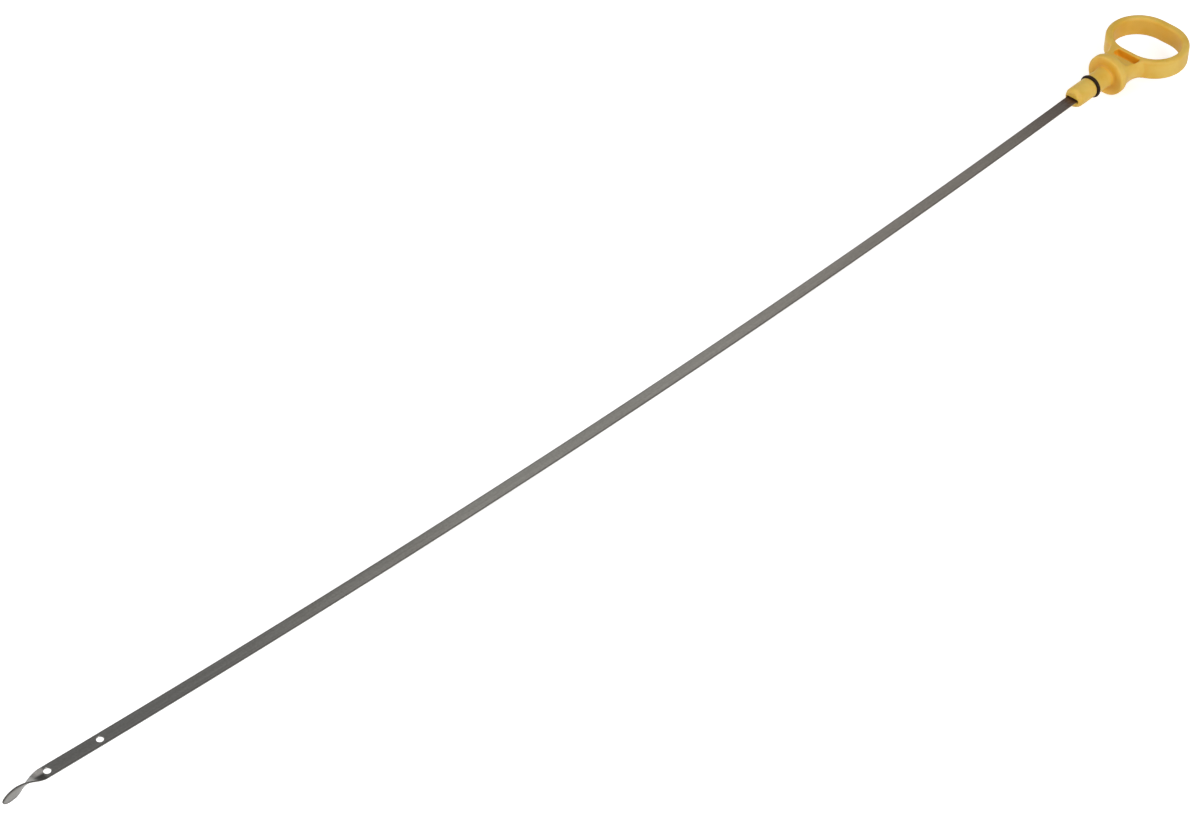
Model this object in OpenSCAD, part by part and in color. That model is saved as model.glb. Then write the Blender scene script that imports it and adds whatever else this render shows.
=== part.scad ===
// Engine oil dipstick: a bowed spring-steel blade moulded into a finger-ring handle.
// Units are millimetres. The origin is the middle of the seat, the face of the collar
// that stops on the tube. +X runs along the blade to the tip, +Z is up, and the part
// is laid on the collar's rim and the blade's belly, as it comes to rest on a table.

/* [Blade] */
// width of the spring-steel strip
blade_width = 5; // [4:0.25:6]
// thickness of the strip
blade_thick = 0.5; // [0.4:0.05:0.8]
// strip's length from the end of the stopper to the tip, along the curve
blade_length = 520.4; // [400:0.1:620]
// how far the middle of that length hangs below its ends
bow = 9.09; // [4:0.01:14]
// how far the blade points below the stopper's axis where it leaves it, in degrees
droop = 1.41; // [0.5:0.01:2]
// length of the tang moulded into the handle
tang_length = 24; // [21:0.5:24.5]
// hole in the tang that the plastic flows through
anchor_hole = 2.2; // [1.6:0.1:2.6]
// distance of that hole from the inner end of the tang
anchor_inset = 4; // [3:0.25:5]
// diameter of the two level holes
level_hole = 2.45; // [1.8:0.05:2.8]
// distance between the low and the high level hole
level_gap = 19.8; // [14:0.1:30]
// distance from the low level hole to the tip
low_to_tip = 17.5; // [16:0.1:20]

/* [Twisted tip] */
// angle that the tip is twisted by, in degrees
twist_turn = 88; // [60:1:100]
// where the twist begins, past the middle of the low hole
twist_start = 1.9; // [1.9:0.1:3]
// length of the twist
twist_length = 10.3; // [8:0.1:11]
// width of the tip past the twist
tip_width = 4.4; // [3.4:0.1:4.8]
// angle that the twisted tip leans to one side, in degrees
tip_lean = 9.7; // [0:0.1:14]
// length over which the tip's end is rounded
tip_round = 4; // [2.6:0.1:4.4]

/* [Stopper] */
// radius of the round stopper that plugs the tube
stopper_radius = 4.25; // [4:0.05:4.5]
// length of the stopper from the seat to its end
stopper_length = 21.4; // [20:0.1:23]
// radius of the flat end of its nose
nose_radius = 3.3; // [3.2:0.05:3.6]
// length of the tapered nose
nose_length = 1.7; // [1.4:0.1:2.4]
// depth of the open mouth around the blade at the nose
mouth_depth = 1.4; // [1:0.1:2]
// room between the blade and the walls of that mouth
mouth_gap = 0.5; // [0.3:0.05:0.6]
// thickness of the rubber ring's section
seal_section = 1.6; // [1.5:0.05:1.8]
// outer radius of the rubber ring in its groove
seal_radius = 4.95; // [4.85:0.05:5.05]
// distance of the rubber ring's middle from the seat
seal_place = 9.5; // [8:0.1:11]
// how far the rubber ring's inside is flattened on the groove's floor
seal_flat = 0.05; // [0.03:0.01:0.1]
// room beside the rubber ring on each side of its groove
seal_room = 0.2; // [0.1:0.05:0.3]
// radius of the hollow corner between stopper and seat
seat_corner = 1; // [0.6:0.1:1.4]

/* [Collar] */
// radius of the round collar
collar_radius = 8.85; // [8.6:0.05:9.1]
// distance from the seat to where the collar's back begins to round off
collar_thick = 2.2; // [2:0.1:2.6]
// rounding of the collar's back edge
back_round = 2; // [1.4:0.1:2.4]
// rounding of the collar's rim at the seat
rim_round = 0.9; // [0.6:0.1:1.1]
// radius of the waist between collar and finger ring
waist_radius = 7.45; // [7.1:0.05:7.8]
// distance of the waist's narrowest place from the seat
waist_place = 8; // [7.6:0.1:8.6]

/* [Finger ring] */
// distance from the seat to the middle of the finger ring
loop_place = 27.45; // [27:0.05:28]
// inner radius of the ring's two half-round ends
loop_radius = 11.5; // [11.1:0.1:11.9]
// how far the centres of the two inner ends are from the stick's line
loop_spread = 2.95; // [2.7:0.05:3.3]
// thickness of the ring's wall along the stick's line
wall_long = 3.5; // [3.3:0.1:3.7]
// thickness of the ring's wall across the stick's line
wall_side = 3.25; // [3.05:0.05:3.45]
// height of the ring's band
band_height = 8.65; // [8:0.05:9]
// rounding of the band's four edges
edge_round = 1.2; // [0.8:0.05:1.4]
// wall left between the ring's opening and the pocket
pocket_wall = 2.3; // [2:0.1:2.5]
// distance from the middle of the ring to the pocket's far wall
pocket_reach = 17.7; // [17:0.1:18.2]
// width of the pocket across the stick's line
pocket_width = 10.8; // [8:0.1:11]
// how far the pocket sits to one side of the stick's line
pocket_aside = 1.1; // [0:0.1:1.2]
// radius of the pocket's corners
pocket_corner = 1.5; // [1:0.1:1.9]
// depth of the pocket in each face
pocket_depth = 3.2; // [2.4:0.1:3.6]

/* [Hidden] */
$fn = 96;
// the blade's curve: radius, and the middle of its circle
bend = round(blade_length * blade_length / (0.8 * bow)) / 10;
bend_x = stopper_length + bend * sin(droop);
bend_z = round(100 * bend * cos(droop)) / 100;
per_mm = 180 / (PI * bend);
// sides of the blade's full circle, about 6 mm each
bend_fn = round(2 * PI * bend / 6);
// places along the blade, from the stopper's end
low_hole = blade_length - low_to_tip;
high_hole = low_hole - level_gap;
flat_end = low_hole + twist_start;
anchor = anchor_inset - tang_length;
// tilt that lays the collar's rim and the blade's belly on one floor
lay_x = bend_x + rim_round;
lay_z = bend_z + collar_radius - rim_round;
lay = atan2(lay_z, lay_x)
    - asin((bend + blade_thick / 2 - rim_round) / sqrt(lay_x * lay_x + lay_z * lay_z));
// gap left around the moulded-in tang
tang_gap = 0.02;
half_band = band_height / 2;
outer_radius = loop_radius + wall_long;
outer_spread = loop_spread + wall_side - wall_long;
groove_radius = seal_radius - seal_section + seal_flat;
groove_width = seal_section + 2 * seal_room;
// run and start of the curves that lead from the collar's rounded back to the neck
neck_run = waist_place - collar_thick;
back_centre = collar_radius - back_round;
neck_end = loop_place - loop_radius;
// stations of the twisted tip, the first one just inside the end of the flat strip
tip_run = blade_length - flat_end;
root_in = 0.4;
root_less = 0.03;
steps = 22;
end_steps = 10;
tip_s = [
    flat_end - root_in,
    for (i = [1:steps]) flat_end + (tip_run - tip_round) * i / steps,
    for (i = [1:end_steps]) blade_length - tip_round + tip_round * sin(88 * i / end_steps)
];

// radius of the hollow that touches the rounded back and just reaches a given height
function hollow(low) = let (gap = back_centre - low)
    (neck_run * neck_run + gap * gap - back_round * back_round) / (2 * (back_round + gap));
// line from the collar's back over its rounding and through the hollow, to where the
// hollow is lowest or, for the turned neck, on to the neck's end
function neck_line(low, reach) = let (
    curve = hollow(low),
    meet = atan2(low + curve - back_centre, -neck_run),
    stop = 270 - asin(min(0.99, (reach - waist_place) / curve))
) concat(
    [for (i = [0:6]) let (a = 90 + (meet - 90) * i / 6)
        [-collar_thick + back_round * cos(a), back_centre + back_round * sin(a)]],
    [for (i = [1:14]) let (a = meet + 180 + (stop - meet - 180) * i / 14)
        [-waist_place + curve * cos(a), low + curve + curve * sin(a)]]
);
// direction of the blade at a place along it, in degrees above the stopper's axis
function rise(s) = s * per_mm - droop;
function on_curve(s) = [bend_x + bend * sin(rise(s)), 0, bend_z - bend * cos(rise(s))];
// the lean sets in over the middle half of the twist
function leant(s) = max(0, s - flat_end - twist_length / 4);
function lean(s) = tip_lean * min(1, leant(s) / (twist_length / 2));
function aside(s) = let (m = leant(s), k = twist_length / 2)
    [0, tan(tip_lean) * (m < k ? m * m / (2 * k) : m - k / 2), 0];
function ease(t) = let (u = max(0, min(1, t))) u * u * (3 - 2 * u);
function turn(s) = twist_turn * (0.5 * ease((s - flat_end) / twist_length)
    + 0.5 * max(0, min(1, (s - flat_end) / twist_length)));
function past(s) = max(0, (s - blade_length + tip_round) / tip_round);
function half(s) = (blade_width + (tip_width - blade_width)
    * ease((s - flat_end) / twist_length)) / 2 * sqrt(max(0.01, 1 - past(s) * past(s)));
function across(s) = [
    -sin(rise(s)) * sin(turn(s)) - sin(lean(s)) * cos(turn(s)),
    cos(turn(s)),
    cos(rise(s)) * sin(turn(s))
];
function upward(s) = [
    -sin(rise(s)) * cos(turn(s)) + sin(lean(s)) * sin(turn(s)),
    -sin(turn(s)),
    cos(rise(s)) * cos(turn(s))
];
function section(s) = let (less = s < flat_end ? root_less : 0) [
    for (c = [[-1, -1], [1, -1], [1, 1], [-1, 1]])
        on_curve(s) + aside(s) + across(s) * (half(s) - less) * c[0]
            + upward(s) * (blade_thick / 2 - less) * c[1]
];

// lay the stick down, turning it about the middle of the seat
module lay_down() {
    rotate([0, lay, 0]) children();
}

// a thing placed on the blade's curve, with its own Z along the blade's thickness
module on_blade(s) {
    translate(on_curve(s)) rotate([0, -rise(s), 0]) children();
}

// the strip between two places along its curve
module strip(from, to, wide, thick) {
    translate([bend_x, 0, bend_z]) rotate([90, 0, 0])
        rotate_extrude(angle = (to - from) * per_mm, start = 270 - droop + from * per_mm,
            $fn = bend_fn)
            translate([bend - thick / 2, -wide / 2]) square([thick, wide]);
}

// a hole drilled through the blade
module drill(s, size) {
    on_blade(s) cylinder(r = size / 2, h = 4 * blade_thick, center = true);
}

// room for the tang in the handle, which leaves a peg standing in the anchor hole
module tang_room() {
    difference() {
        strip(-tang_length - tang_gap, 1, blade_width + 2 * tang_gap, blade_thick + 2 * tang_gap);
        drill(anchor, anchor_hole - 2 * tang_gap);
    }
}

// twisted end of the blade, lofted through its stations
module twisted_tip() {
    n = len(tip_s);
    pts = [for (s = tip_s) each section(s)];
    sides = [
        for (i = [0:n - 2], k = [0:3]) let (a = 4 * i + k, b = 4 * i + (k + 1) % 4)
            each [[a, b + 4, b], [a, a + 4, b + 4]]
    ];
    last = 4 * n - 4;
    ends = [[0, 1, 2], [0, 2, 3], [last, last + 2, last + 1], [last, last + 3, last + 2]];
    polyhedron(pts, concat(sides, ends));
}

// spring-steel blade with its tang, level holes and twisted tip
module blade() {
    color([0.45, 0.44, 0.41]) lay_down() union() {
        difference() {
            strip(-tang_length, flat_end, blade_width, blade_thick);
            drill(anchor, anchor_hole);
            drill(high_hole, level_hole);
            drill(low_hole, level_hole);
        }
        twisted_tip();
    }
}

// rubber ring in the stopper's groove
module o_ring() {
    color([0.1, 0.08, 0.07]) lay_down() difference() {
        translate([seal_place, 0, 0]) rotate([0, 90, 0]) rotate_extrude()
            translate([seal_radius - seal_section / 2, 0]) circle(r = seal_section / 2);
        translate([seal_place, 0, 0]) rotate([0, 90, 0])
            cylinder(r = groove_radius, h = 2 * seal_section, center = true);
    }
}

// outline of the stopper, collar and neck, turned about the stick's axis
module turned_profile() {
    difference() {
        union() {
            // stopper and its tapered nose
            polygon([
                [0, stopper_length], [nose_radius, stopper_length],
                [stopper_radius, stopper_length - nose_length], [stopper_radius, -1], [0, -1]
            ]);
            // collar and neck
            translate([0, -collar_thick]) square([collar_radius, collar_thick - rim_round]);
            polygon(concat([for (p = neck_line(waist_radius, neck_end)) [p[1], p[0]]],
                [[0, -neck_end], [0, -collar_thick]]));
            translate([0, -1.5 * rim_round]) square([collar_radius - rim_round, 1.5 * rim_round]);
            translate([collar_radius - rim_round, -rim_round]) circle(r = rim_round);
            // corner between stopper and seat
            translate([stopper_radius - 0.5, -0.5]) square([seat_corner + 0.5, seat_corner + 0.5]);
        }
        translate([stopper_radius + seat_corner, seat_corner]) circle(r = seat_corner);
        translate([groove_radius, seal_place - groove_width / 2])
            square([stopper_radius, groove_width]);
    }
}

// what is cut away above the neck, seen from the side
module above_neck() {
    polygon(concat(neck_line(half_band, waist_place),
        [[-loop_place, half_band], [-loop_place, 20], [-collar_thick, 20]]));
}

// section of one half of the band's outside, with rounded edges
module band_half() {
    square_half = outer_radius - edge_round;
    translate([0, -half_band]) square([square_half, band_height]);
    translate([0, edge_round - half_band]) square([outer_radius, band_height - 2 * edge_round]);
    for (m = [-1, 1])
        translate([square_half, m * (half_band - edge_round)]) circle(r = edge_round);
}

// section of one half of the opening, flared over the rounded edges
module opening_half() {
    translate([0, -half_band - 1]) square([loop_radius, band_height + 2]);
    for (m = [0, 1]) mirror([0, m])
        difference() {
            translate([loop_radius - 0.5, half_band - edge_round])
                square([edge_round + 0.5, edge_round + 1]);
            translate([loop_radius + edge_round, half_band - edge_round]) circle(r = edge_round);
        }
}

// a long ring form: two half turns with a straight part between them
module long_round(spread) {
    for (m = [0, 1]) mirror([0, m, 0])
        translate([0, spread, 0]) rotate_extrude(angle = 180) children();
    for (m = [0, 1]) mirror([m, 0, 0])
        rotate([90, 0, 0]) linear_extrude(2 * spread, center = true) children();
}

// plan of the ring's opening, grown by a wall
module opening_plan(grow) {
    for (m = [-1, 1]) translate([0, m * loop_spread]) circle(r = loop_radius + grow);
    square([2 * (loop_radius + grow), 2 * loop_spread], center = true);
}

// pocket that keeps the neck from being thick beside the ring
module pocket() {
    side = pocket_width / 2;
    linear_extrude(pocket_depth + 1) difference() {
        translate([0, pocket_aside]) {
            for (m = [-1, 1])
                translate([pocket_reach - pocket_corner, m * (side - pocket_corner)])
                    circle(r = pocket_corner);
            translate([0, pocket_corner - side])
                square([pocket_reach, pocket_width - 2 * pocket_corner]);
            translate([0, -side]) square([pocket_reach - pocket_corner, pocket_width]);
        }
        opening_plan(pocket_wall);
    }
}

// moulded handle: stopper, collar, neck and finger ring in one piece
module handle() {
    color([0.86, 0.68, 0.28]) lay_down() difference() {
        union() {
            difference() {
                rotate([0, 90, 0]) rotate_extrude() turned_profile();
                for (m = [0, 1]) mirror([0, 0, m]) rotate([90, 0, 0])
                    linear_extrude(30, center = true) above_neck();
            }
            translate([-loop_place, 0, 0]) long_round(outer_spread) band_half();
        }
        translate([-loop_place, 0, 0]) long_round(loop_spread) opening_half();
        translate([-loop_place, 0, 0]) for (m = [0, 1]) mirror([0, 0, m])
            translate([0, 0, half_band - pocket_depth]) pocket();
        tang_room();
        // open mouth around the blade
        on_blade(0) cube([2 * mouth_depth, blade_width + 2 * mouth_gap, blade_thick + 2 * mouth_gap],
            center = true);
    }
}

handle();
o_ring();
blade();
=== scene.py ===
# Engine oil dipstick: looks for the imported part, in metres, in the part's own frame.
import math

import bmesh
import bpy
from mathutils import Matrix, Vector


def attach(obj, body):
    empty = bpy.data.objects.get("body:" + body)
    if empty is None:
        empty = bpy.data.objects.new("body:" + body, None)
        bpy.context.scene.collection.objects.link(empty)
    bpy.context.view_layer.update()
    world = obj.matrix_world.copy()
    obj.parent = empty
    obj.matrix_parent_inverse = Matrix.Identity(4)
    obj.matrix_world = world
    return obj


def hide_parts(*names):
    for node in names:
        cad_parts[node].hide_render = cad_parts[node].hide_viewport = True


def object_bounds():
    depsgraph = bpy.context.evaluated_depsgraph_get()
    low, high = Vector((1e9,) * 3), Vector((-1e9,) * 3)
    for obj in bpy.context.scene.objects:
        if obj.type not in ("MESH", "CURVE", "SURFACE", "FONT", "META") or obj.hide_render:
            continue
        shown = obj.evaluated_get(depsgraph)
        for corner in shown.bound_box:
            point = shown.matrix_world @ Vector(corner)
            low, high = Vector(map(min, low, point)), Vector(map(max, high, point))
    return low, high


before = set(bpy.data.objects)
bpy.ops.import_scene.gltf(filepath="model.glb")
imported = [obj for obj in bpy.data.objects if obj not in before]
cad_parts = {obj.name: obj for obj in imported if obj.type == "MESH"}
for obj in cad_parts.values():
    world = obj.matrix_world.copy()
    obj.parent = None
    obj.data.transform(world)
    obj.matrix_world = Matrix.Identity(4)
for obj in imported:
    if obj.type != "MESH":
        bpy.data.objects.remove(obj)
cad_box = [list(corner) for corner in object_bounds()]

MM = 0.001

# Sizes of the stick, in millimetres, as the part's source gives them.
BLADE_WIDTH = 5.0
BLADE_THICK = 0.5
BLADE_LENGTH = 520.4
TANG_LENGTH = 24.0
BOW = 9.09
DROOP = 1.41
LEVEL_HOLE = 2.45
LEVEL_GAP = 19.8
LOW_TO_TIP = 17.5
TWIST_TURN = 88.0
TWIST_START = 1.9
TWIST_LENGTH = 10.3
TIP_WIDTH = 4.4
TIP_LEAN = 9.7
TIP_ROUND = 4.0
STOPPER_LENGTH = 21.4
SEAL_PLACE = 9.5
SEAL_RADIUS = 4.95
SEAL_SECTION = 1.6
COLLAR_RADIUS = 8.85
RIM_ROUND = 0.9
LOW_HOLE = BLADE_LENGTH - LOW_TO_TIP

# Small touches that the scene adds, in millimetres.
STRIP_EDGE = 0.14
HOLE_CHAMFER = 0.1
SEAL_SQUEEZE = 0.2
MOULDING_VOXEL = 0.26
# where each pocket's wall is thin: along the stick, across it, and how high above its middle
THIN_END = ((-14.5, -8.2), (5.0, 8.0), 2.6)

# The blade's curve, and the tilt that lays the stick on its collar and its blade.
BEND = round(BLADE_LENGTH ** 2 / (0.8 * BOW)) / 10
BEND_X = STOPPER_LENGTH + BEND * math.sin(math.radians(DROOP))
BEND_Z = round(100 * BEND * math.cos(math.radians(DROOP))) / 100
LAY_X = BEND_X + RIM_ROUND
LAY_Z = BEND_Z + COLLAR_RADIUS - RIM_ROUND
LAY = math.atan2(LAY_Z, LAY_X) - math.asin(
    (BEND + BLADE_THICK / 2 - RIM_ROUND) / math.hypot(LAY_X, LAY_Z)
)
LAID = Matrix.Rotation(LAY, 4, "Y")


# Node trees

class Tree:
    """Adds nodes to a tree and joins them up, so that a formula reads as one line."""

    def __init__(self, nodes):
        self.nodes = nodes.nodes
        self.links = nodes.links

    def node(self, kind, settings=None, **inputs):
        made = self.nodes.new(kind)
        for name, value in (settings or {}).items():
            setattr(made, name, value)
        for name, value in inputs.items():
            self.put(made.inputs[name.replace("_", " ")], value)
        return made

    def put(self, socket, value):
        if isinstance(value, bpy.types.NodeSocket):
            self.links.new(value, socket)
        elif value is not None:
            socket.default_value = value

    def math(self, operation, *values):
        made = self.nodes.new("ShaderNodeMath")
        made.operation = operation
        for socket, value in zip(made.inputs, values):
            self.put(socket, value)
        return made.outputs[0]

    def add(self, a, b):
        return self.math("ADD", a, b)

    def less(self, a, b):
        return self.math("SUBTRACT", a, b)

    def times(self, a, b):
        return self.math("MULTIPLY", a, b)

    def over(self, a, b):
        return self.math("DIVIDE", a, b)

    def spread(self, value, low, high, to_low=0.0, to_high=1.0, smooth=False):
        """A value between low and high brought to another range, and kept inside it."""
        made = self.nodes.new("ShaderNodeMapRange")
        made.clamp = True
        made.interpolation_type = "SMOOTHSTEP" if smooth else "LINEAR"
        for socket, v in zip(made.inputs[:5], (value, low, high, to_low, to_high)):
            self.put(socket, v)
        return made.outputs[0]


def shape_tree(name, inputs):
    """An empty geometry tree with named inputs, each one (name, value) in its own unit."""
    group = bpy.data.node_groups.new(name, "GeometryNodeTree")
    group.interface.new_socket("Geometry", in_out="OUTPUT", socket_type="NodeSocketGeometry")
    for title, value in inputs:
        kind = "NodeSocketInt" if isinstance(value, int) else "NodeSocketFloat"
        socket = group.interface.new_socket(title, in_out="INPUT", socket_type=kind)
        socket.default_value = value
    return group


def grown(name, group, material):
    """The plain mesh that a geometry tree makes with its inputs' values."""
    holder = bpy.data.objects.new(name + "_source", bpy.data.meshes.new(name + "_source"))
    bpy.context.scene.collection.objects.link(holder)
    grow = holder.modifiers.new(name, "NODES")
    grow.node_group = group
    made = bpy.data.meshes.new_from_object(
        holder.evaluated_get(bpy.context.evaluated_depsgraph_get())
    )
    bpy.data.objects.remove(holder)
    made.name = name
    made.materials.clear()
    made.materials.append(material)
    piece = bpy.data.objects.new(name, made)
    bpy.context.scene.collection.objects.link(piece)
    return piece


def reworked(mesh, change):
    """Makes one change to a mesh's points and faces."""
    bm = bmesh.new()
    bm.from_mesh(mesh)
    change(bm)
    bm.to_mesh(mesh)
    bm.free()


# Materials

def new_material(name):
    """A material with an empty tree, its shader and its place on the object."""
    made = bpy.data.materials.new(name)
    made.use_nodes = True
    made.node_tree.nodes.clear()
    t = Tree(made.node_tree)
    shader = t.node("ShaderNodeBsdfPrincipled")
    out = t.node("ShaderNodeOutputMaterial")
    t.links.new(shader.outputs[0], out.inputs[0])
    place = t.node("ShaderNodeTexCoord").outputs["Object"]
    return made, t, shader, place


def colours(t, factor, stops):
    """A colour ramp with stops of (place, (red, green, blue))."""
    ramp = t.node("ShaderNodeValToRGB")
    elements = ramp.color_ramp.elements
    while len(elements) > 1:
        elements.remove(elements[-1])
    elements[0].position, elements[0].color = stops[0][0], (*stops[0][1], 1)
    for where, colour in stops[1:]:
        elements.new(where).color = (*colour, 1)
    t.put(ramp.inputs[0], factor)
    return ramp.outputs[0]


def blended(t, factor, first, second, way="MIX"):
    mix = t.node("ShaderNodeMix", {"data_type": "RGBA", "blend_type": way})
    t.put(mix.inputs[0], factor)
    for socket, value in ((mix.inputs[6], first), (mix.inputs[7], second)):
        if isinstance(value, tuple):
            socket.default_value = (*value, 1)
        else:
            t.put(socket, value)
    return mix.outputs[2]


def noise(t, place, size_mm, detail=3.0, stretch=(1, 1, 1), rough=0.5):
    """Soft noise with features of about this size, stretched along an axis where asked."""
    mapping = t.node("ShaderNodeMapping", Vector=place)
    mapping.inputs["Scale"].default_value = stretch
    made = t.node("ShaderNodeTexNoise", {"noise_dimensions": "3D"}, Vector=mapping.outputs[0])
    made.inputs["Scale"].default_value = 1000.0 / size_mm
    made.inputs["Detail"].default_value = detail
    made.inputs["Roughness"].default_value = rough
    return made.outputs[0]


def bump(t, shader, height, distance, strength=1.0, under=None):
    made = t.node("ShaderNodeBump")
    made.inputs["Strength"].default_value = strength
    made.inputs["Distance"].default_value = distance
    t.put(made.inputs["Height"], height)
    if under is not None:
        t.put(made.inputs["Normal"], under)
    t.put(shader.inputs["Normal"], made.outputs[0])
    return made.outputs[0]


def yellow_plastic():
    made, t, shader, place = new_material("yellow_plastic")
    cloud = noise(t, place, 9.0, 2.0)
    fine = noise(t, place, 1.3, 3.0)
    body = colours(t, cloud, [
        (0.35, (0.70, 0.425, 0.050)),
        (0.65, (0.75, 0.500, 0.092)),
    ])
    speck = t.spread(fine, 0.42, 0.62)
    body = blended(t, t.times(speck, 0.14), body, (0.80, 0.54, 0.12))
    # painted shade and glow: recesses are painted a deeper orange from ambient occlusion,
    # standing in for light that goes a little way into the plastic
    open_air = t.node("ShaderNodeAmbientOcclusion", {"samples": 8, "only_local": True})
    open_air.inputs["Distance"].default_value = 24 * MM
    unshaded = t.spread(open_air.outputs["AO"], 0.5, 1.0)
    # the stopper stays yellow to its root, clear of the painted recess shade, and a painted shade
    # darkens the collar's face round it
    own = t.node("ShaderNodeMapping", Vector=place)
    own.inputs["Rotation"].default_value = (0, -LAY, 0)
    along, aside, above = t.node("ShaderNodeSeparateXYZ", Vector=own.outputs[0]).outputs
    radius = t.math("SQRT", t.add(t.times(aside, aside), t.times(above, above)))
    unshaded = t.math("MAXIMUM", unshaded, t.spread(along, 0.5 * MM, 1.5 * MM))
    body = blended(t, unshaded, (0.82, 0.395, 0.013), body)
    # painted shade on the collar's face round the stopper's root, where no groove is modelled
    face = t.times(t.spread(along, -0.7 * MM, -0.2 * MM),
                   t.spread(along, 0.3 * MM, 0.7 * MM, 1.0, 0.0))
    root_shade = t.times(face, t.spread(radius, 4.8 * MM, 7.6 * MM, 1.0, 0.0))
    body = blended(t, root_shade, body, (0.88, 0.76, 0.37), "MULTIPLY")
    t.put(shader.inputs["Base Color"], body)
    t.put(shader.inputs["Roughness"], t.spread(fine, 0.3, 0.7, 0.46, 0.58))
    shader.inputs["Subsurface Weight"].default_value = 0.2
    shader.inputs["Subsurface Radius"].default_value = (1.0, 0.45, 0.12)
    shader.inputs["Subsurface Scale"].default_value = 1.5 * MM
    shader.inputs["IOR"].default_value = 1.46
    grain = noise(t, place, 0.35, 2.0)
    waves = noise(t, place, 4.5, 2.0)
    first = bump(t, shader, waves, 0.12 * MM, 0.5)
    bump(t, shader, grain, 0.02 * MM, 0.5, first)
    return made


def spring_steel():
    made, t, shader, place = new_material("spring_steel")
    # run along the strip, place across it and half its width there, so that the drawn
    # lines follow the twist
    strip = t.node("ShaderNodeAttribute", {"attribute_name": "strip"}).outputs["Vector"]
    run, aside, half = t.node("ShaderNodeSeparateXYZ", Vector=strip).outputs
    inset = t.less(half, t.math("ABSOLUTE", aside))
    streak = noise(t, strip, 0.55, 4.0, (0.012, 1, 1), 0.6)
    cloud = noise(t, strip, 9.0, 3.0, (0.3, 1, 1))
    pits = noise(t, strip, 0.9, 4.0, (0.5, 1, 1))
    body = colours(t, streak, [
        (0.3, (0.296, 0.286, 0.261)),
        (0.7, (0.413, 0.401, 0.369)),
    ])
    # a faint warm tint at the stopper's end fades out along the strip
    warm = t.spread(run, 0.04, 0.26, 0.7, 0.0)
    body = blended(t, warm, body, (0.455, 0.400, 0.350))
    # the strip is darker towards its tip end
    tip_darkening = t.spread(run, 0.32, 0.48, 0.0, 1.0, True)
    body = blended(t, t.times(tip_darkening, 0.75), body, (0.215, 0.213, 0.207))
    body = blended(t, t.times(t.spread(cloud, 0.45, 0.7), 0.25), body, (0.25, 0.23, 0.20))
    grain = noise(t, strip, 0.8, 3.0)
    body = blended(t, t.spread(grain, 0.40, 0.62, 0.0, 0.30), body, (0.17, 0.165, 0.155))
    # past the low hole, on the twist, one half gets a painted highlight and the other half a
    # painted shade
    past = t.less(run, LOW_HOLE * MM)
    twisted = t.times(t.spread(past, 0.4 * MM, 1.2 * MM),
                      t.spread(past, 3.2 * MM, 4.6 * MM, 1.0, 0.0))
    painted_highlight = t.times(twisted, t.spread(aside, -0.5 * MM, 0.3 * MM, 0.95, 0.0))
    body = blended(t, painted_highlight, body, (0.66, 0.63, 0.60))
    # painted shade on the other half of the twist
    painted_shade = t.times(t.times(t.spread(past, 1.0 * MM, 2.0 * MM),
                           t.spread(past, 4.5 * MM, 6.0 * MM, 1.0, 0.0)),
                   t.spread(aside, -0.1 * MM, 0.5 * MM, 0.0, 0.75))
    body = blended(t, painted_shade, body, (0.05, 0.049, 0.047))
    # the slit edges are darker than the rolled faces, most of all round the tip
    tip = t.spread(past, 5 * MM, 7 * MM)
    rim = t.times(t.spread(inset, 0.15 * MM, t.add(0.5 * MM, t.times(tip, 0.45 * MM)), 1.0, 0.0),
                  t.add(0.7, t.times(tip, 0.25)))
    body = blended(t, rim, body, (0.085, 0.079, 0.072))
    # the strip is browner where it comes out of the stopper, fading out within about 50 mm
    ragged = t.add(run, t.times(t.less(pits, 0.5), 9 * MM))
    near = t.spread(ragged, 2 * MM, 50 * MM, 0.85, 0.0, True)
    body = blended(t, near, body, (0.190, 0.154, 0.134))
    # painted shade, dark brown, where the strip goes into the stopper's mouth
    root = t.spread(ragged, 0 * MM, 7 * MM, 0.85, 0.0, True)
    body = blended(t, root, body, (0.120, 0.060, 0.036))
    t.put(shader.inputs["Base Color"], body)
    shader.inputs["Metallic"].default_value = 0.85
    t.put(shader.inputs["Roughness"], t.spread(streak, 0.3, 0.7, 0.28, 0.40))
    bump(t, shader, streak, 0.010 * MM, 0.6)
    return made


def seal_rubber():
    made, t, shader, place = new_material("seal_rubber")
    dust = noise(t, place, 0.6, 3.0)
    body = colours(t, dust, [
        (0.4, (0.020, 0.010, 0.005)),
        (0.75, (0.045, 0.025, 0.013)),
    ])
    t.put(shader.inputs["Base Color"], body)
    t.put(shader.inputs["Roughness"], t.spread(dust, 0.3, 0.7, 0.50, 0.66))
    shader.inputs["Specular IOR Level"].default_value = 0.12
    bump(t, shader, noise(t, place, 0.25, 2.0), 0.01 * MM, 0.6)
    return made


# Pieces

def blunt_thin_edge(bm):
    """Softens the thin edge in which a pocket's far end runs out."""
    (back, front), (near, far), height = THIN_END
    to_line = LAID.inverted()

    def on_edge(spot):
        return back < spot.x < front and near < spot.y < far and abs(spot.z) > height

    thin = [v for v in bm.verts if on_edge(to_line @ v.co / MM)]
    for _ in range(30):
        bmesh.ops.smooth_vert(bm, verts=thin, factor=0.5, use_axis_x=True, use_axis_y=True,
                              use_axis_z=True)


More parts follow.
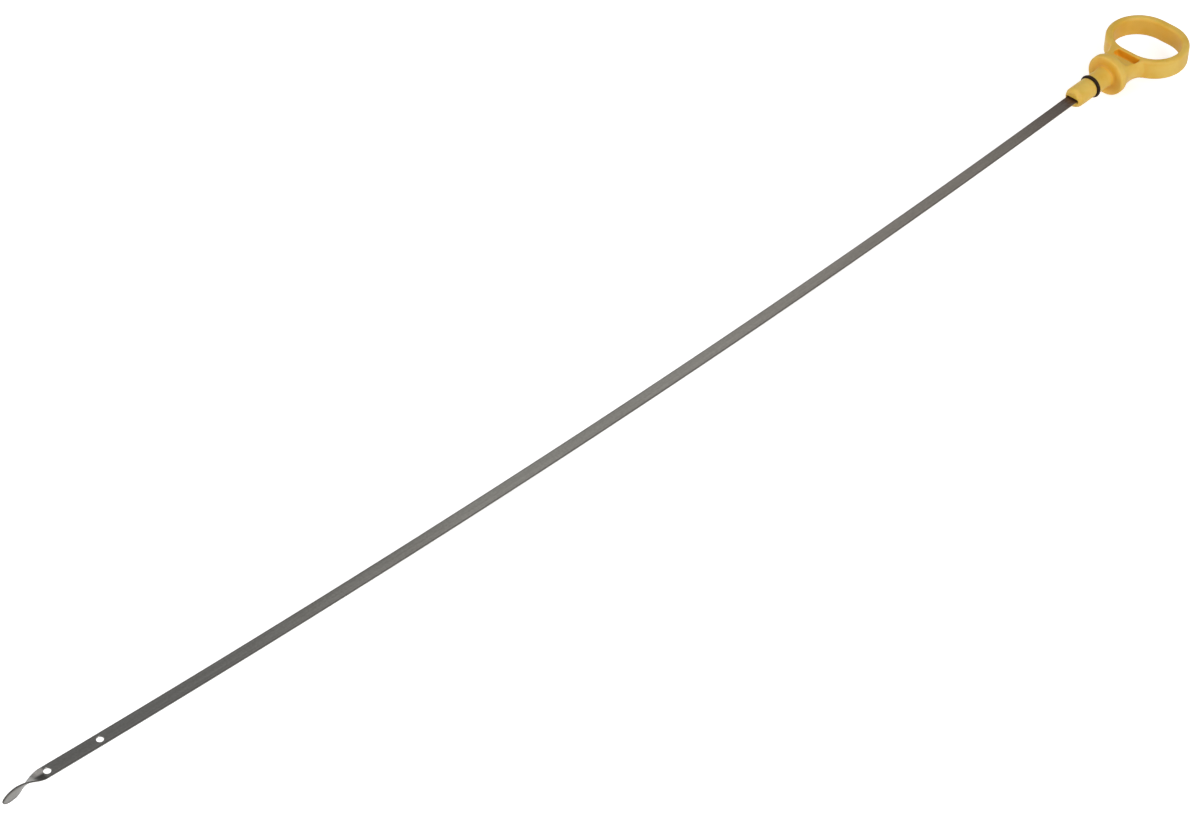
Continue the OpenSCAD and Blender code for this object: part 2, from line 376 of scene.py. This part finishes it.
def softened_moulding(name, node, passes, material):
    """The moulded piece remade from its solid with softly rounded edges and corners."""
    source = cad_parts[node]
    mesh = source.data.copy()
    reworked(mesh, lambda bm: bmesh.ops.remove_doubles(bm, verts=bm.verts, dist=0.002 * MM))
    piece = bpy.data.objects.new(name, mesh)
    bpy.context.scene.collection.objects.link(piece)
    remesh = piece.modifiers.new("remesh", "REMESH")
    remesh.mode = "VOXEL"
    remesh.voxel_size = MOULDING_VOXEL * MM
    smooth = piece.modifiers.new("smooth", "SMOOTH")
    smooth.factor = 0.5
    smooth.iterations = passes
    plain = bpy.data.meshes.new_from_object(
        piece.evaluated_get(bpy.context.evaluated_depsgraph_get())
    )
    piece.modifiers.clear()
    plain.name = name
    reworked(plain, blunt_thin_edge)
    piece.data = plain
    plain.materials.clear()
    plain.materials.append(material)
    plain.shade_smooth()
    return piece


def blade_tree():
    """The strip as a tube of rounded sections, set along its bow and turned at the tip."""
    group = shape_tree("blade_form", [
        ("Width", BLADE_WIDTH), ("Thickness", BLADE_THICK), ("Edge round", STRIP_EDGE),
        ("Length", BLADE_LENGTH), ("Tang length", TANG_LENGTH),
        ("Bend radius", BEND), ("Droop", DROOP),
        ("Twist", TWIST_TURN), ("Twist start", LOW_HOLE + TWIST_START),
        ("Twist length", TWIST_LENGTH),
        ("Tip width", TIP_WIDTH), ("Tip lean", TIP_LEAN), ("Tip round", TIP_ROUND),
        ("Hole", LEVEL_HOLE), ("Low hole", LOW_HOLE), ("Hole gap", LEVEL_GAP),
        ("Hole chamfer", HOLE_CHAMFER),
    ])
    t = Tree(group)
    size = {s.name: s for s in t.node("NodeGroupInput").outputs if s.name}
    rows, sides = 340, 24
    grid = t.node("GeometryNodeMeshGrid", Size_X=1.0, Size_Y=1.0,
                  Vertices_X=rows, Vertices_Y=sides + 1)
    spot = t.node("ShaderNodeSeparateXYZ", Vector=t.node("GeometryNodeInputPosition").outputs[0])
    row = t.add(spot.outputs[0], 0.5)
    step = t.math("ROUND", t.times(t.add(spot.outputs[1], 0.5), sides))

    # place along the strip: one long part, then the twisted tip with closer sections
    first = t.times(size["Tang length"], -1.0)
    flat = t.spread(row, 0.006, 0.62, first, size["Twist start"])
    tip = t.spread(row, 0.62, 0.994)
    tip = t.math("SINE", t.times(tip, math.pi / 2))
    tip_run = t.less(size["Length"], size["Twist start"])
    run = t.add(flat, t.times(tip, tip_run))
    close = t.math("MINIMUM", t.spread(row, 0.0, 0.004), t.spread(row, 0.996, 1.0, 1.0, 0.0))

    # half width and half thickness there
    into_twist = t.over(t.less(run, size["Twist start"]), size["Twist length"])
    part = t.spread(into_twist, 0.0, 1.0)
    eased = t.spread(into_twist, 0.0, 1.0, 0.0, 1.0, True)
    past = t.math("MAXIMUM", 0.0, t.over(
        t.add(t.less(run, size["Length"]), size["Tip round"]), size["Tip round"]))
    narrow = t.math("SQRT", t.math("MAXIMUM", 0.006, t.less(1.0, t.times(past, past))))
    wide = t.add(size["Width"], t.times(t.less(size["Tip width"], size["Width"]), eased))
    half = t.times(t.times(wide, 0.5), narrow)
    thick = t.times(size["Thickness"], 0.5)
    edge = t.math("MINIMUM", size["Edge round"], t.times(half, 0.5))

    # the rounded section: four corners, six points on each
    corner = t.math("FLOOR", t.over(step, 6.0))
    inner = t.less(step, t.times(corner, 6.0))
    angle = t.times(t.add(corner, t.over(inner, 5.0)), math.pi / 2)
    middle = t.times(t.add(corner, 0.5), math.pi / 2)
    across = t.add(t.times(t.math("SIGN", t.math("COSINE", middle)), t.less(half, edge)),
                   t.times(t.math("COSINE", angle), edge))
    upward = t.add(t.times(t.math("SIGN", t.math("SINE", middle)), t.less(thick, edge)),
                   t.times(t.math("SINE", angle), edge))
    across, upward = t.times(across, close), t.times(upward, close)
    drawn = t.node("ShaderNodeCombineXYZ", X=t.times(run, MM), Y=t.times(across, MM),
                   Z=t.times(half, MM)).outputs[0]

    # turn the section with the twist, then set it on the bowed line
    turn = t.times(t.times(t.add(part, eased), 0.5), t.times(size["Twist"], math.pi / 180))
    side = t.less(t.times(across, t.math("COSINE", turn)), t.times(upward, t.math("SINE", turn)))
    # the twisted tip leans to one side, over the middle half of the twist
    easing = t.times(size["Twist length"], 0.5)
    leant = t.math("MAXIMUM", 0.0, t.less(t.less(run, size["Twist start"]), t.times(easing, 0.5)))
    early = t.math("MINIMUM", leant, easing)
    lean = t.times(size["Tip lean"], math.pi / 180)
    aside = t.add(t.over(t.times(early, early), t.times(easing, 2.0)), t.less(leant, early))
    back = t.times(side, t.times(t.math("SINE", lean), t.over(early, easing)))
    side = t.add(side, t.times(t.math("TANGENT", lean), aside))
    lift = t.add(t.times(across, t.math("SINE", turn)), t.times(upward, t.math("COSINE", turn)))
    droop = t.times(size["Droop"], math.pi / 180)
    rise = t.less(t.over(run, size["Bend radius"]), droop)
    reach = t.less(size["Bend radius"], lift)
    x = t.add(t.times(size["Bend radius"], t.math("SINE", droop)),
              t.times(reach, t.math("SINE", rise)))
    z = t.less(t.times(size["Bend radius"], t.math("COSINE", droop)),
               t.times(reach, t.math("COSINE", rise)))
    x = t.less(t.add(x, STOPPER_LENGTH), back)
    point = t.node("ShaderNodeCombineXYZ", X=x, Y=side, Z=z).outputs[0]
    # each point keeps its run, its place across and the half width there, in metres
    tube = t.node("GeometryNodeStoreNamedAttribute", {"data_type": "FLOAT_VECTOR"},
                  Geometry=grid.outputs[0], Name="strip", Value=drawn)
    tube = t.node("GeometryNodeSetPosition", Geometry=tube.outputs[0], Position=point)
    tube = t.node("GeometryNodeMergeByDistance", Geometry=tube.outputs[0], Distance=0.0005)

    # the two level holes, slightly opened at both faces
    cutters = t.node("GeometryNodeJoinGeometry")
    reach_out = 0.5
    for where in (size["Low hole"], t.less(size["Low hole"], size["Hole gap"])):
        radius = t.times(size["Hole"], 0.5)
        flare = t.add(t.add(radius, size["Hole chamfer"]), reach_out)
        drill = t.node("GeometryNodeMeshCylinder", Vertices=48, Radius=radius, Depth=3.0)
        bits = [drill.outputs[0]]
        cone = t.node("GeometryNodeMeshCone", Vertices=48, Radius_Top=0.0, Radius_Bottom=flare,
                      Depth=flare)
        mouth = t.add(thick, reach_out)
        for way in (1, -1):
            bits.append(t.node(
                "GeometryNodeTransform", Geometry=cone.outputs[0],
                Translation=t.node("ShaderNodeCombineXYZ", Z=t.times(mouth, way)).outputs[0],
                Rotation=(math.pi if way > 0 else 0.0, 0.0, 0.0)).outputs[0])
        tool = t.node("GeometryNodeMeshBoolean", {"operation": "UNION"})
        for bit in bits:
            t.links.new(bit, tool.inputs[1])
        rise_there = t.less(t.over(where, size["Bend radius"]), droop)
        there = t.node(
            "ShaderNodeCombineXYZ",
            X=t.add(STOPPER_LENGTH, t.times(size["Bend radius"], t.add(
                t.math("SINE", droop), t.math("SINE", rise_there)))),
            Z=t.times(size["Bend radius"], t.less(
                t.math("COSINE", droop), t.math("COSINE", rise_there))))
        set_there = t.node(
            "GeometryNodeTransform", Geometry=tool.outputs[0], Translation=there.outputs[0],
            Rotation=t.node("ShaderNodeCombineXYZ", Y=t.times(rise_there, -1.0)).outputs[0])
        t.links.new(set_there.outputs[0], cutters.inputs[0])
    pierced = t.node("GeometryNodeMeshBoolean", {"operation": "DIFFERENCE"})
    t.links.new(tube.outputs[0], pierced.inputs[0])
    t.links.new(cutters.outputs[0], pierced.inputs[1])

    # the same three numbers again on the flat part, where the holes have made new points
    here = t.node("ShaderNodeSeparateXYZ", Vector=t.node("GeometryNodeInputPosition").outputs[0])
    bent = t.math("ARCTAN2",
                  t.less(t.less(here.outputs[0], STOPPER_LENGTH),
                         t.times(size["Bend radius"], t.math("SINE", droop))),
                  t.less(t.times(size["Bend radius"], t.math("COSINE", droop)), here.outputs[2]))
    run_here = t.times(size["Bend radius"], t.add(bent, droop))
    again = t.node("ShaderNodeCombineXYZ", X=t.times(run_here, MM),
                   Y=t.times(here.outputs[1], MM),
                   Z=t.times(size["Width"], 0.5 * MM)).outputs[0]
    flat_part = t.node("FunctionNodeCompare", {"data_type": "FLOAT", "operation": "LESS_THAN"})
    t.put(flat_part.inputs[0], run_here)
    t.put(flat_part.inputs[1], size["Twist start"])
    marked = t.node("GeometryNodeStoreNamedAttribute", {"data_type": "FLOAT_VECTOR"},
                    Geometry=pierced.outputs[0], Selection=flat_part.outputs[0], Name="strip",
                    Value=again)
    whole = t.node("GeometryNodeRealizeInstances", Geometry=marked.outputs[0])
    coat = t.node("GeometryNodeSetMaterial", Geometry=whole.outputs[0])
    out = t.node("NodeGroupOutput")
    t.links.new(coat.outputs[0], out.inputs[0])
    return group


def seal_tree():
    """The rubber ring: a round section swept round the stopper's groove."""
    group = shape_tree("seal_form", [
        ("Outer radius", SEAL_RADIUS), ("Section", SEAL_SECTION - SEAL_SQUEEZE),
    ])
    t = Tree(group)
    size = {s.name: s for s in t.node("NodeGroupInput").outputs if s.name}
    small = t.times(size["Section"], 0.5)
    path = t.node("GeometryNodeCurvePrimitiveCircle", Resolution=144,
                  Radius=t.less(size["Outer radius"], small))
    section = t.node("GeometryNodeCurvePrimitiveCircle", Resolution=32, Radius=small)
    ring = t.node("GeometryNodeCurveToMesh", Curve=path.outputs[0],
                  Profile_Curve=section.outputs[0])
    whole = t.node("GeometryNodeRealizeInstances", Geometry=ring.outputs[0])
    coat = t.node("GeometryNodeSetMaterial", Geometry=whole.outputs[0])
    out = t.node("NodeGroupOutput")
    t.links.new(coat.outputs[0], out.inputs[0])
    return group


def laid(piece, before=Matrix.Identity(4)):
    """Brings a piece made in the stick's own line, in millimetres, to its place as it lies."""
    piece.data.transform(Matrix.Scale(MM, 4) @ LAID @ before)
    piece.data.update()
    return piece


plastic = yellow_plastic()
steel = spring_steel()
rubber = seal_rubber()

moulding = softened_moulding("handle_moulding", "handle", 4, plastic)
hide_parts("handle")
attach(moulding, "root")

strip = laid(grown("blade_strip", blade_tree(), steel))
reworked(strip.data, lambda bm: bmesh.ops.recalc_face_normals(bm, faces=bm.faces))
strip.data.shade_smooth()
strip.data.set_sharp_from_angle(angle=math.radians(35))
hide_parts("blade")
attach(strip, "root")

seal = laid(
    grown("seal_ring", seal_tree(), rubber),
    Matrix.Translation((SEAL_PLACE, 0, 0)) @ Matrix.Rotation(math.pi / 2, 4, "Y"),
)
seal.data.shade_smooth()
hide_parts("o_ring")
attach(seal, "root")


# Floor, light and camera

def pale_floor():
    low = cad_box[0][2]
    mesh = bpy.data.meshes.new("floor")
    mesh.from_pydata([(-6, -6, low), (6, -6, low), (6, 6, low), (-6, 6, low)], [], [(0, 1, 2, 3)])
    floor = bpy.data.objects.new("floor", mesh)
    bpy.context.scene.collection.objects.link(floor)
    made, t, shader, _ = new_material("pale_floor")
    shader.inputs["Base Color"].default_value = (0.85, 0.85, 0.85, 1)
    shader.inputs["Roughness"].default_value = 0.9
    shader.inputs["Specular IOR Level"].default_value = 0.1
    # the camera and the metal see it lifted to white, still with the stick's soft shadow
    ray = t.node("ShaderNodeLightPath")
    seen = t.math("MAXIMUM", ray.outputs["Is Camera Ray"], ray.outputs["Is Glossy Ray"])
    shader.inputs["Emission Color"].default_value = (1, 1, 1, 1)
    t.put(shader.inputs["Emission Strength"], t.times(seen, 0.55))
    mesh.materials.append(made)


def soft_lamp(name, place, aim, size, power):
    lamp = bpy.data.lights.new(name, "AREA")
    lamp.shape = "DISK"
    lamp.size = size
    lamp.energy = power
    holder = bpy.data.objects.new(name, lamp)
    bpy.context.scene.collection.objects.link(holder)
    holder.location = place
    holder.rotation_mode = "QUATERNION"
    holder.rotation_quaternion = (Vector(aim) - Vector(place)).to_track_quat("-Z", "Y")


def room_light():
    world = bpy.data.worlds.new("room")
    bpy.context.scene.world = world
    world.use_nodes = True
    world.node_tree.nodes.clear()
    t = Tree(world.node_tree)
    ray = t.node("ShaderNodeLightPath")
    up = t.node("ShaderNodeSeparateXYZ",
                Vector=t.node("ShaderNodeTexCoord").outputs["Generated"]).outputs[2]
    # the camera sees white all round, and the metal sees it as high as the sweep goes
    sweep = t.times(ray.outputs["Is Glossy Ray"], t.spread(up, 0.06, 0.18, 1.0, 0.0))
    seen = t.math("MAXIMUM", t.math("MAXIMUM", ray.outputs["Is Camera Ray"],
                                    ray.outputs["Is Transmission Ray"]), sweep)
    # white sweep at the horizon, darker walls above it, and a pale ceiling
    walls = colours(t, t.spread(up, -0.2, 1.0), [
        (0.22, (0.95, 0.95, 0.95)), (0.32, (0.50, 0.50, 0.50)), (0.55, (0.28, 0.28, 0.28)),
        (0.80, (0.28, 0.28, 0.28)), (1.0, (0.90, 0.90, 0.90)),
    ])
    light = t.node("ShaderNodeBackground", Color=walls)
    light.inputs["Strength"].default_value = 1.0
    white = t.node("ShaderNodeBackground")
    white.inputs["Color"].default_value = (1, 1, 1, 1)
    mix = t.node("ShaderNodeMixShader")
    t.links.new(seen, mix.inputs[0])
    t.links.new(light.outputs[0], mix.inputs[1])
    t.links.new(white.outputs[0], mix.inputs[2])
    out = t.node("ShaderNodeOutputWorld")
    t.links.new(mix.outputs[0], out.inputs[0])


def photo_camera():
    """The photograph's camera, placed in the stick's own line, in millimetres."""
    lens = bpy.data.cameras.new("camera")
    lens.sensor_width = 36
    lens.lens = 81.027
    lens.shift_x = -0.00322
    lens.shift_y = 0.00628
    lens.clip_start, lens.clip_end = 0.01, 50
    camera = bpy.data.objects.new("camera", lens)
    bpy.context.scene.collection.objects.link(camera)
    right = Vector((-0.71461, 0.69910, -0.02432)).normalized()
    down = Vector((0.50153, 0.48780, -0.71451)).normalized()
    forward = right.cross(down).normalized()
    turned = Matrix((right, -down, -forward)).transposed().to_4x4()
    place = Matrix.Translation(Vector((750.651, 499.186, 674.689)) * MM)
    camera.matrix_world = LAID @ place @ turned
    bpy.context.scene.camera = camera


pale_floor()
room_light()
soft_lamp("key", (0.6, 1.2, 0.95), (0.05, 0, 0), 1.1, 13.5)
soft_lamp("left", (0.85, -0.8, 0.32), (0.2, 0, 0), 0.8, 4.0)
soft_lamp("sheen", (-0.15, -0.42, 0.58), (0.26, 0, 0), 0.3, 0.15)
photo_camera()
bpy.context.scene.view_settings.view_transform = "Standard"
